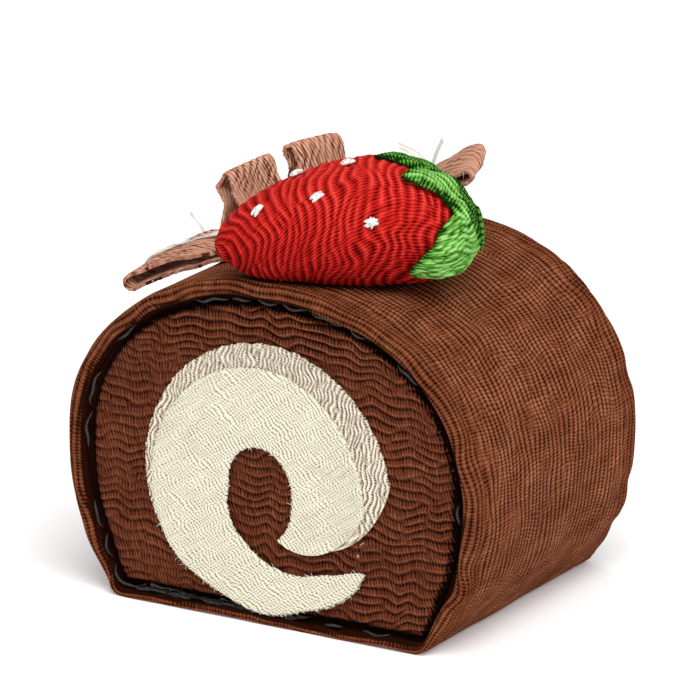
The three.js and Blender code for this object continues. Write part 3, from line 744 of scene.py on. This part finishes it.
def make_swirl(side, under):
    inner, middle, outer = (-46, -24, 12) if under else (-62, -36, 0)
    name = ("beige" if under else "cream") + "_layer_" + ("front" if side < 0 else "back")
    long = 900
    # Most of the beige layer's vertices go where it shows, past the cream.
    hidden_then_seen = np.concatenate([np.linspace(-1, 0.3, 12), np.linspace(0.33, 1, 60)])
    v = (hidden_then_seen if under else np.linspace(-1, 1, 102))[None, :]
    u = np.linspace(0, 1, long)[:, None]
    start = middle + (outer - inner) / 2 * v + ((outer + inner) / 2 - middle) * v**2
    angle = start + (333 - start) * u
    near, far = swirl_edges(angle)
    if under:
        near, far = near + np.minimum(0.6, (far - near) * 0.35), far + beige_margin(angle)
    # The cut edge is a little ragged.
    chance = np.random.default_rng(21 + under + (side > 0) * 2)
    rag = chance.normal(0, 0.075 if under else 0.06, (long, 2))
    rag = rag + 0.05 * np.sin(np.linspace(0, 240, long))[:, None]
    edge_in = np.exp(-((v + 1) / 0.05))
    edge_out = np.exp(-((1 - v) / 0.05))
    r = near * (1 - v) / 2 + far * (1 + v) / 2 + rag[:, :1] * edge_in + rag[:, 1:] * edge_out
    x = CENTRE[0] + r * np.cos(np.radians(angle))
    z = CENTRE[1] + r * np.sin(np.radians(angle))
    if under:
        lean = 0.17 * np.sin(z / 0.5 + 1.8 * drift(x, z, 7, 3)) + 0.3 * drift(x, z, 6, 51) - 0.12 * z
        share, firm = ripples(z, x + lean, BEIGE_RIDGES, 0.2, 13, spread=0.15)
        tone = tone_of(share, firm, 0.5, 0.38, 0.19, 0.38, 0.16) + 0.05 * drift(x, z, 1.4, 54)
        high = 0.14
    else:
        # Its ridges lean back, and further in the lower part.
        wave = 0.13 * np.sin(z / 0.5 + 1.8 * drift(x, z, 8, 4)) + 0.2 * drift(x, z, 7, 52)
        upper = crepe_waves(z - x, (x + 0.95 * z) / 1.38 + wave, CREAM_RIDGES, 0.2, 14, 0.14)
        lower = crepe_waves(z - x, (x + 1.8 * z) / 2.06 + wave, CREAM_RIDGES, 0.2, 15, 0.14)
        low = 1 - smooth(z, 3, 11)
        share, firm = ridges_of(upper * (1 - low) + lower * low)
        tone = tone_of(share, firm, 0.5, 0.26, 0.22, 0.4, 0.15)
        high = 0.08
    drop = 0.22 * np.maximum(edge_in, edge_out) ** 2
    face = END - PANEL_FRONT + 0.05 + CLOTH + (0 if under else CLOTH + 0.05)
    y = side * (face - high * (1 - swell_of(share, firm)**0.8) + 0.05 * drift(x, z, 5, 53) - drop * 0.6)
    cloth = np.stack([z + (0.3 if under else -0.7) * x + 0.1 * drift(x, z, 1.6, 55), x], -1)
    piece = cloth_grid(name, np.stack([x, y, z], -1), cloth, tone, weave=1.0 if under else 0.8)
    back_up(piece, -side * (CLOTH - 0.12))
    soften(piece)
    node = ("beige" if under else "cream") + "_swirl_" + ("front" if side < 0 else "back")
    finish_piece(piece, beige if under else cream, "beige_crepe" if under else "cream_crepe", node)
    return piece


for side in (-1, 1):
    for under in (True, False):
        make_swirl(side, under)

# The strawberry, stuffed and sewn down on the roll

def roll_top(x):
    return WIDEST_AT + CROWN * np.maximum(1 - (np.abs(x) / HALF_WIDTH) ** CROWN_POWER, 0) ** (1 / CROWN_POWER)


KNOTS = [
    (5.5, 33, 28), (11.2, -10, 12), (12.9, 42, 15), (17.6, 4, 0), (19.2, 74, -8), (6, -60, 20),
    (10.5, -95, -15), (14.5, -50, 10), (19, -85, 25), (23, -40, -10), (13, -135, 5), (20, -128, -20),
]


def make_strawberry():
    bend = np.linspace(0.012, 1, 250)
    along = BERRY_LENGTH * (1 - np.cos(math.pi * bend * 0.996)) / 2
    turn = np.linspace(180, 540, 176)
    a = along[:, None] + 0 * turn[None, :]
    t = turn[None, :] + 0 * along[:, None]
    turned = (t + 180) % 360 - 180
    arc = np.radians(turned) * np.maximum(berry_radius(a), 2.5)
    lean = 0.55 * np.exp(-((a / 8) ** 2)) - 0.2
    wave = 0.4 * np.sin(arc / 1.45 + 1.3 * drift(a, arc, 10, 61)) + 0.35 * drift(a, arc, 9, 62)
    share, firm = ripples(arc, a - lean * arc + wave, BERRY_RIDGES, 0.18, 17, spread=0.13)
    height = swell_of(share, firm, 0.45)
    clear = np.clip(0.95 + 0.25 * drift(a, arc, 6, 64), 0.65, 1.1)
    tone = tone_of(share, firm * clear, 0.45, 0.33, 0.14, 0.34, 0.13)
    # Painted light and shade: the strawberry is lighter on top, darker underneath and darker towards its tip.
    tone = tone + 0.15 * (np.cos(np.radians(turned)) - 0.4) - 0.08 * (1 - smooth(a, 4, 15))
    tone[:, -1] = tone[:, 0]
    proud = 0.24 * (height**0.8 - 0.5) + 0.14 * drift(a, arc, 9, 63)
    for place, round_to, _ in KNOTS:
        away = np.hypot(a - place, np.radians((t - round_to + 180) % 360 - 180) * berry_radius(a))
        proud = proud - 0.3 * np.exp(-((away / 1.1) ** 2))
    proud = proud * smooth(berry_radius(a), 0.2, 2.5)
    points = berry_point(a, t, proud)
    inside = np.abs(points[..., 1]) < END + 0.35
    above_roll = np.maximum(points[..., 2], roll_top(points[..., 0]) + 0.3)
    points[..., 2] = np.where(inside, above_roll, points[..., 2])
    points[:, -1] = points[:, 0]
    cloth = np.stack([arc + 0.3 * a + 0.1 * drift(a, arc, 2, 65), a], -1)
    piece = cloth_grid("strawberry_cloth", points, cloth, tone, closed=True, weave=1.0)
    close_rims(piece)
    soften(piece)
    finish_piece(piece, red, "red_crepe", "strawberry")
    return piece


make_strawberry()


def knot_of_thread():
    """One seed knot, 2 mm long at the origin, lying along X: three strands."""
    strands = []
    for shift, twist, rise in ((-0.22, 14, 0.1), (0.05, -10, 0.2), (0.28, 8, 0.08)):
        bpy.ops.object.select_all(action="DESELECT")
        bpy.ops.mesh.primitive_uv_sphere_add(segments=12, ring_count=10, radius=1)
        strand = bpy.context.object
        mesh = strand.data
        for vertex in mesh.vertices:
            x, y, z = vertex.co
            bumpy = 1 + 0.12 * math.sin(9 * x + 5 * shift) + 0.08 * math.sin(7 * z)
            spread = 1.15 - 0.3 * (1 - abs(x))
            angle = math.radians(twist)
            px, py = x * 0.98, y * 0.27 * bumpy * spread + shift
            vertex.co = Vector((
                px * math.cos(angle) - py * math.sin(angle),
                px * math.sin(angle) + py * math.cos(angle),
                z * 0.27 * bumpy + rise - 0.18 * x * x,
            )) * MM
        strands.append(strand)
    return join(strands, "seed_knot")


def make_knots():
    first = knot_of_thread()
    copies = []
    for index, (along, turn, lean) in enumerate(KNOTS):
        at = berry_point(along, turn, 0.12)
        out = berry_point(along, turn, 1.0) - berry_point(along, turn, 0.0)
        out = Vector(out).normalized()
        across = out.cross(Vector(axis)).normalized()
        stitch = across.cross(out).normalized()
        stitch.rotate(Matrix.Rotation(math.radians(lean), 3, out))
        other = out.cross(stitch)
        place = Matrix((stitch, other, out)).transposed().to_4x4()
        place.translation = Vector(at) * MM
        ways = ((0, 1.0), (68, 0.8)) if index == 4 else ((0, 1.0),)
        for angle, size in ways:
            copy = first.copy()
            copy.data = first.data.copy()
            bpy.context.collection.objects.link(copy)
            copy.data.transform(place @ Matrix.Rotation(math.radians(angle), 4, "Z") @ Matrix.Scale(size, 4))
            copies.append(copy)
    bpy.data.objects.remove(first)
    knots = join(copies, "seed_knots")
    soften(knots, 80)
    finish_piece(knots, white_thread, "red_crepe")


make_knots()

# The leaves

# How far the calyx reaches over the skin from the leaf end, by turn: five tips and five notches.
CALYX_EDGE = np.array([
    (-52, 6.3), (-44, 8.2), (-30, 11), (-14, 13.6), (-4, 15.2), (3, 16.1), (8, 14.6), (11, 12.6), (14, 9.6),
    (17, 10.4), (20, 11.3), (28, 12.6), (34, 13.5), (38, 12.7), (40, 10.6), (43, 8.6), (52, 7.5), (60, 6.6),
    (66, 7.3), (74, 8.3), (82, 9.15), (90, 9.8), (97, 10.5), (104, 11.45), (110, 12.4), (117, 13.1),
    (123, 13.4),
    (129, 12.5), (133, 10.8), (137, 8.5), (144, 6.6), (152, 6), (165, 6.6), (180, 8), (195, 9), (208, 7.8),
    (220, 6.3), (229, 5.9), (240, 7.8), (251, 10.4), (262, 12), (273, 10.4), (284, 8), (296, 6.4), (308, 6.3),
])


def from_leaf_end(reach):
    """How far from the tip one comes by walking so far over the strawberry's skin from its leaf end."""
    along = np.linspace(BERRY_LENGTH, 0, 6000)
    walked = np.concatenate([[0], np.cumsum(np.hypot(np.diff(along), np.diff(berry_radius(along))))])
    return np.interp(reach, walked, along)


def make_calyx():
    """Five pointed leaves cut as one star of cloth and laid over the strawberry's end."""
    edge_turn = np.radians(CALYX_EDGE[:, 0])
    flat = CALYX_EDGE[:, 1:] * np.stack([np.cos(edge_turn), np.sin(edge_turn)], 1)
    walked = np.concatenate([[0], np.cumsum(np.hypot(*np.diff(flat, axis=0).T))])
    places = np.linspace(0, walked[-1], 470)
    turn = np.interp(places, walked, CALYX_EDGE[:, 0])[None, :]
    edge = np.interp(places, walked, CALYX_EDGE[:, 1])
    edge = edge + 0.09 * drift(places, 0 * places, 1.2, 70)
    edge[-1] = edge[0]
    share_out = np.linspace(0, 1, 84)[:, None]
    reach = 0.2 + (edge - 0.2) * share_out
    along = from_leaf_end(reach)
    x, y = reach * np.cos(np.radians(turn)), reach * np.sin(np.radians(turn))
    ahead = x * math.cos(0.3) + y * math.sin(0.3)
    sideways = y * math.cos(0.3) - x * math.sin(0.3)
    wave = 0.25 * drift(x, y, 4, 71)
    share, firm = ripples(ahead, sideways + wave, LEAF_RIDGES, 0.2, 73, spread=0.13)
    # The ridges run across the lower leaf, and along the others.
    turned = ripples(sideways, ahead + 1.6 * wave, LOWER_LEAF_RIDGES, 0.3, 74, spread=0.15)
    on_lower = (turn > 66) & (turn < 152)
    share, firm = np.where(on_lower, turned[0], share), np.where(on_lower, turned[1], firm)
    height = swell_of(share, firm)
    tone = tone_of(share, firm, 0.5, 0.35, 0.16, 0.4, 0.15)
    # Painted shade darkens the leaves along their outer edges, where they curl down; the rest varies at
    # random.
    tone = tone - 0.4 * smooth(share_out, 0.93, 1) + 0.1 * drift(x, y, 3, 75)
    # The long leaf at the top lies in its own shadow.
    tone = tone - 0.38 * smooth(turn, -60, -44) * (1 - smooth(turn, 12, 16)) * smooth(reach, 3, 8)
    # So does the middle, and the upper leaf's lower edge is folded under, with painted shade in the crease.
    middle = 6.4 - 0.03 * np.clip(turn, 0, 130)
    tone = tone - 0.5 * (1 - smooth(reach, middle - 0.4, middle + 0.3)) * (1 - smooth(turn, 96, 130))
    crease_shade = smooth(turn, 35, 39) * (1 - smooth(turn, 52, 62)) * smooth(share_out, 0.72, 0.86)
    tone = tone - 0.55 * crease_shade
    lift = 0.85 + 0.4 * smooth(reach, 6, 14) + 0.16 * drift(x, y, 5, 78) + 0.18 * (height**0.8 - 0.6)
    lift = lift - 0.3 * share_out**8 + 0.35 * np.sin(np.pi * smooth(share_out, 0.45, 1)) * smooth(reach, 4, 8)
    at_top = smooth(turn, -60, -44) * (1 - smooth(turn, 12, 17))
    lift = lift - 0.75 * at_top * smooth(reach, 6, 12)
    points = berry_point(along, turn + 0 * reach, lift)
    calyx = cloth_grid("leaf_cloth", points, np.stack([ahead, sideways], -1), tone, closed=True)
    thicken(calyx, 0.4)
    bpy.ops.object.select_all(action="DESELECT")
    end = berry_middle(np.array(BERRY_LENGTH + 0.8))
    turn = Matrix((Vector(near_side), Vector(up), Vector(-axis))).transposed()
    bpy.ops.mesh.primitive_uv_sphere_add(segments=96, ring_count=48, radius=2.9 * MM)
    button = bpy.context.object
    flat_x, flat_y = np.array([vertex.co[:2] for vertex in button.data.vertices]).T / MM
    button_wave = 0.2 * drift(flat_x, flat_y, 3, 79)
    button_ridges = ripples(flat_x, flat_y + button_wave, 0.8, 0.25, 80)
    on_button = tone_of(*button_ridges, 0.5, 0.2, 0.2, 0.3, 0.15)
    flattened = turn.to_4x4() @ Matrix.Diagonal((1, 1, 0.2, 1))
    button.data.transform(Matrix.Translation(Vector(end) * MM) @ flattened)
    button.data.uv_layers.active.name = "cloth"
    level = button.data.attributes.new("tone", "FLOAT", "POINT")
    # The button is painted a little darker, as shade like the middle round it.
    level.data.foreach_set("value", (on_button - 0.24).astype(np.float32))
    calyx = join([calyx, button], "leaf_cloth")
    soften(calyx)
    finish_piece(calyx, green, "green_crepe", "calyx")
    return calyx


make_calyx()

# Ribbon loops and organza tails: each a strip along a line, as wide as twice the vector

LOOPS = {
    "ribbon_loop_left_low": ((0.58, 3.84, 0.97), [
        (-7.5, -6, 46.2), (-12.5, -6.2, 44.9), (-16.3, -6.2, 43.4), (-19.9, -6.2, 41.9), (-24.2, -6.2, 39.9),
        (-26.8, -6.2, 38.5), (-27.7, -6.2, 39.2), (-27.1, -6.2, 40.1), (-24.6, -6.2, 41.3),
        (-20.3, -6.2, 43.5),
        (-16.3, -6.2, 44.4), (-12.5, -6.1, 45.9), (-7.5, -6, 47.2)]),
    "ribbon_loop_left_up": ((1, 3.8, 0.52), [
        (-12.3, 2, 44.3), (-12.9, 1.9, 45.9), (-14, 1.8, 47.6), (-15.2, 1.8, 49.5), (-15.9, 1.8, 51.3),
        (-16.5, 1.8, 52.7), (-17.2, 1.8, 52.9), (-17.7, 1.8, 52.1), (-18.4, 1.8, 50.9), (-17.6, 1.8, 49.8),
        (-17.1, 1.8, 48.8), (-17.3, 1.8, 47.3), (-17.6, 1.8, 45.4), (-17.8, 1.8, 43.4), (-17.8, 1.8, 41.5)]),
    "ribbon_loop_middle_up": ((1.28, 3.78, -0.1), [
        (-3.6, 1.8, 45.6), (-4.5, 1.8, 50), (-5.3, 1.8, 52.8), (-5.7, 1.8, 54.8), (-6.2, 1.8, 56.9),
        (-7, 1.8, 57.8), (-7.9, 1.8, 57.3), (-7.9, 1.8, 56.3), (-7.2, 1.8, 55.1), (-7.2, 1.8, 53.4),
        (-7.3, 1.8, 51), (-7.2, 1.8, 48.5), (-6.9, 1.8, 45.4)]),
    "ribbon_loop_right_up": ((-1.27, 3.73, 0.67), [
        (-1.5, 11.2, 46.5), (1.6, 11.4, 47.7), (5.1, 11.7, 50.2), (9, 11.7, 52.8), (11.2, 11.7, 53.9),
        (11.9, 11.7, 54.6), (11.4, 11.7, 55.4), (10.1, 11.8, 55.2), (5.1, 11.8, 52.1), (1.4, 11.4, 49.5),
        (-1.3, 11.2, 48)]),
}
TAILS = {
    "organza_tail_left": ((0.05, 0.35, 0.1), [
        (-20.5, -1.3, 40.2), (-20.9, -1.4, 42.1), (-21.7, -1.5, 44.1), (-23.5, -1.8, 46.3)]),
    "organza_over_left": ((0.2, 0.85, 0.2), [
        (-16.5, -4.3, 45.5), (-19.5, -4.3, 44.4), (-22.4, -4.3, 43.2), (-25.6, -4.3, 41.6),
        (-27.4, -4.3, 40.7),
        (-28.5, -4.4, 39.3)]),
    "organza_tail_back_left": ((0.15, 0.4, 0.5), [
        (3.5, 5.6, 46), (6.5, 5.6, 50), (8.1, 5.4, 54), (7, 5.2, 56.5), (3.6, 5.2, 57.8)]),
    "organza_tail_back_right": ((0.5, -0.3, -0.25), [
        (5.5, 7, 45.8), (7.3, 7, 50), (7.6, 7, 54), (8.2, 6.9, 56.5), (9.4, 6.8, 59)]),
}


def smooth_route(line, count):
    """Evenly spaced points of a centripetal Catmull-Rom curve through the line's points."""
    line = np.array(line, float)
    line = np.concatenate([[2 * line[0] - line[1]], line, [2 * line[-1] - line[-2]]])
    knots = np.concatenate([[0], np.cumsum(np.linalg.norm(np.diff(line, axis=0), axis=1) ** 0.5)])
    fine = []
    for i in range(1, len(line) - 2):
        t0, t1, t2, t3 = knots[i - 1 : i + 3]
        p0, p1, p2, p3 = line[i - 1 : i + 3]
        t = np.linspace(t1, t2, 40, endpoint=i == len(line) - 3)[:, None]
        a1 = (t1 - t) / (t1 - t0) * p0 + (t - t0) / (t1 - t0) * p1
        a2 = (t2 - t) / (t2 - t1) * p1 + (t - t1) / (t2 - t1) * p2
        a3 = (t3 - t) / (t3 - t2) * p2 + (t - t2) / (t3 - t2) * p3
        b1 = (t2 - t) / (t2 - t0) * a1 + (t - t0) / (t2 - t0) * a2
        b2 = (t3 - t) / (t3 - t1) * a2 + (t - t1) / (t3 - t1) * a3
        fine.append((t2 - t) / (t2 - t1) * b1 + (t - t1) / (t2 - t1) * b2)
    fine = np.concatenate(fine)
    length = np.concatenate([[0], np.cumsum(np.linalg.norm(np.diff(fine, axis=0), axis=1))])
    places = np.linspace(0, length[-1], count)
    return np.stack([np.interp(places, length, fine[:, k]) for k in range(3)], 1), length[-1]


def make_strip(name, half, line, seed, slant):
    half = np.array(half)
    _, length = smooth_route(line, 10)
    route, length = smooth_route(line, int(length / 0.2))
    width = 2 * np.linalg.norm(half)
    v = np.linspace(-1, 1, int(width / 0.2))[None, :]
    along = np.linspace(0, length, len(route))[:, None]
    points = route[:, None, :] + half[None, None, :] * v[..., None]
    ahead, sideways = along + 0 * v, v * width / 2 + 0 * along
    wave = 0.22 * drift(ahead, sideways, 3.4, seed)
    lie = math.hypot(1, slant)
    across = (sideways + slant * ahead) / lie + wave
    share, firm = ripples(ahead, across, RIBBON_RIDGES, 0.34, seed + 1, spread=0.16)
    clear = np.clip(0.55 + 0.45 * drift(ahead, sideways, 6, seed + 3), 0.12, 1)
    tone = tone_of(share, firm * clear, 0.5, 0.25, 0.19, 0.55, 0.16) + 0.14 * (1 - clear)
    relief = 0.13 * (swell_of(share, firm * clear)**0.8 - 0.6)
    relief = relief + 0.12 * drift(ahead, sideways, 6, seed + 2) - 0.12 * np.abs(v) ** 8
    chance = np.random.default_rng(seed)
    rag = chance.normal(0, 0.05, (len(route), 2))
    points = points + facing(points) * relief[..., None]
    points[:, 0] += rag[:, :1] * half / np.linalg.norm(half)
    points[:, -1] += rag[:, 1:] * half / np.linalg.norm(half)
    cloth = np.stack([sideways + 0.25 * ahead + 0.1 * drift(ahead, sideways, 2, seed + 4), ahead], -1)
    piece = cloth_grid(name.replace("ribbon_", "ribbon_cloth_"), points, cloth, tone, weave=0.5 + 0.6 * clear)
    thicken(piece, 0.45)
    soften(piece)
    finish_piece(piece, rose, "rose_crepe", name)
    return piece


# How far each strip's ridges run aslant, since it was cut askew.
SLANTS = (0.1, -0.65, -0.2, -0.25)

for seed, (name, (half, line)) in enumerate(LOOPS.items()):
    make_strip(name, half, line, 100 + 10 * seed, SLANTS[seed])


def make_tail(name, half, line, seed):
    half = np.array(half)
    route, length = smooth_route(line, 70)
    u = np.linspace(0, 1, 70)[:, None]
    v = np.linspace(-1, 1, 9)[None, :]
    taper = 1 - 0.55 * u**2
    points = route[:, None, :] + half[None, None, :] * (v * taper)[..., None]
    ahead = u * length + 0 * v
    points = points + facing(points) * (0.12 * drift(ahead, v * 2 + 0 * u, 3, seed) + 0.1 * v**2)[..., None]
    cloth = np.stack([ahead, v * np.linalg.norm(half) + 0 * u], -1)
    piece = cloth_grid(name.replace("organza_", "organza_cloth_"), points, cloth, 0.5 + 0 * ahead)
    thicken(piece, 0.12)
    soften(piece)
    finish_piece(piece, organza, "organza", name)


for seed, (name, (half, line)) in enumerate(TAILS.items()):
    make_tail(name, half, line, 200 + seed)

# Frayed fibres at the cut edges

def make_fibres(name, starts, ways, lengths, radius, seed, material, slot):
    """Short curling fibres, each three-sided and thinner to its tip."""
    chance = np.random.default_rng(seed)
    points, faces = [], []
    t = np.linspace(0, 1, 5)[:, None]
    for start, way, long in zip(starts, ways, lengths):
        way = way / np.linalg.norm(way)
        line = start + long * (t * way + 0.6 * t * t * chance.normal(0, 0.5, 3))
        ahead = np.gradient(line, axis=0)
        one_side = np.cross(ahead, [0.3, 0.5, 0.81])
        one_side /= np.linalg.norm(one_side, axis=1, keepdims=True)
        other = np.cross(ahead, one_side)
        other /= np.linalg.norm(other, axis=1, keepdims=True)
        first = len(points)
        for ring in range(5):
            thick = radius * (1 - 0.6 * t[ring, 0])
            for turn in np.radians((0, 120, 240)):
                out = np.cos(turn) * one_side[ring] + np.sin(turn) * other[ring]
                points.append(line[ring] + thick * out)
        for ring in range(4):
            for k in range(3):
                a, b = first + 3 * ring + k, first + 3 * ring + (k + 1) % 3
                faces.append((a, b, b + 3, a + 3))
        faces.append((first, first + 2, first + 1))
        faces.append((first + 12, first + 13, first + 14))
    finish_piece(piece_from(name, points, faces), material, slot)


def fray_ribbons():
    chance = np.random.default_rng(301)
    starts, ways = [], []
    for half, line in LOOPS.values():
        half = np.array(half)
        route, _ = smooth_route(line, 200)
        for _ in range(34):
            side, k = chance.choice([-1, 1]), chance.integers(10, 190)
            starts.append(route[k] + side * half * 0.985)
            ways.append(side * half / np.linalg.norm(half) + chance.normal(0, 0.55, 3))
    lengths = chance.uniform(0.25, 1.0, len(starts))
    make_fibres("ribbon_fibres", starts, ways, lengths, 0.045, 302, rose_fibre, "rose_crepe")


def fray_cream(side):
    chance = np.random.default_rng(303 + side)
    count = 130
    angle = chance.uniform(-30, 331, count)
    near, far = swirl_edges(angle)
    outer = chance.random(count) < 0.6
    r = np.where(outer, far - 0.1, near + 0.1)
    out = np.stack([np.cos(np.radians(angle)), 0 * angle, np.sin(np.radians(angle))], 1)
    starts = out * r[:, None] + [CENTRE[0], 0, CENTRE[1]]
    starts[:, 1] = side * (END - PANEL_FRONT + 2 * CLOTH - 0.06)
    ways = out * np.where(outer, 1, -1)[:, None] + chance.normal(0, 0.6, (count, 3)) * [1, 0.3, 1]
    name = "cream_fibres_" + ("front" if side < 0 else "back")
    lengths = chance.uniform(0.2, 0.65, count)
    make_fibres(name, starts, ways, lengths, 0.05, 305 + side, white_thread, "cream_crepe")


fray_ribbons()
fray_cream(-1)
fray_cream(1)

# Floor and light

bpy.ops.object.select_all(action="DESELECT")
bpy.ops.mesh.primitive_plane_add(size=6)
floor = bpy.context.object
floor.name = floor.data.name = "floor"
pale, _, floor_shader = new_material("pale_floor")
floor_shader.inputs["Base Color"].default_value = (0.97, 0.97, 0.97, 1)
floor_shader.inputs["Roughness"].default_value = 0.9
floor_shader.inputs["Emission Color"].default_value = (1, 1, 1, 1)
floor_shader.inputs["Emission Strength"].default_value = 0.1
floor.data.materials.append(pale)

world = bpy.context.scene.world or bpy.data.worlds.new("studio")
bpy.context.scene.world = world
world.use_nodes = True
backdrop = world.node_tree.nodes["Background"]
backdrop.inputs["Color"].default_value = (1, 1, 1, 1)
backdrop.inputs["Strength"].default_value = 0.64


def soft_light(name, direction, distance, size, power):
    """A square soft light that far along direction from the object, facing it."""
    out = Vector(direction).normalized()
    bpy.ops.object.light_add(type="AREA", location=Vector((0, 0, 0.03)) + out * distance)
    light = bpy.context.object
    light.name = light.data.name = name
    light.data.size = size
    light.data.energy = power
    light.rotation_euler = out.to_track_quat("Z", "Y").to_euler()


soft_light("key_light", (0.5, -0.62, 1.25), 2.4, 1.5, 38)
soft_light("side_light", (1.1, -0.2, 0.75), 2.4, 1.4, 11)
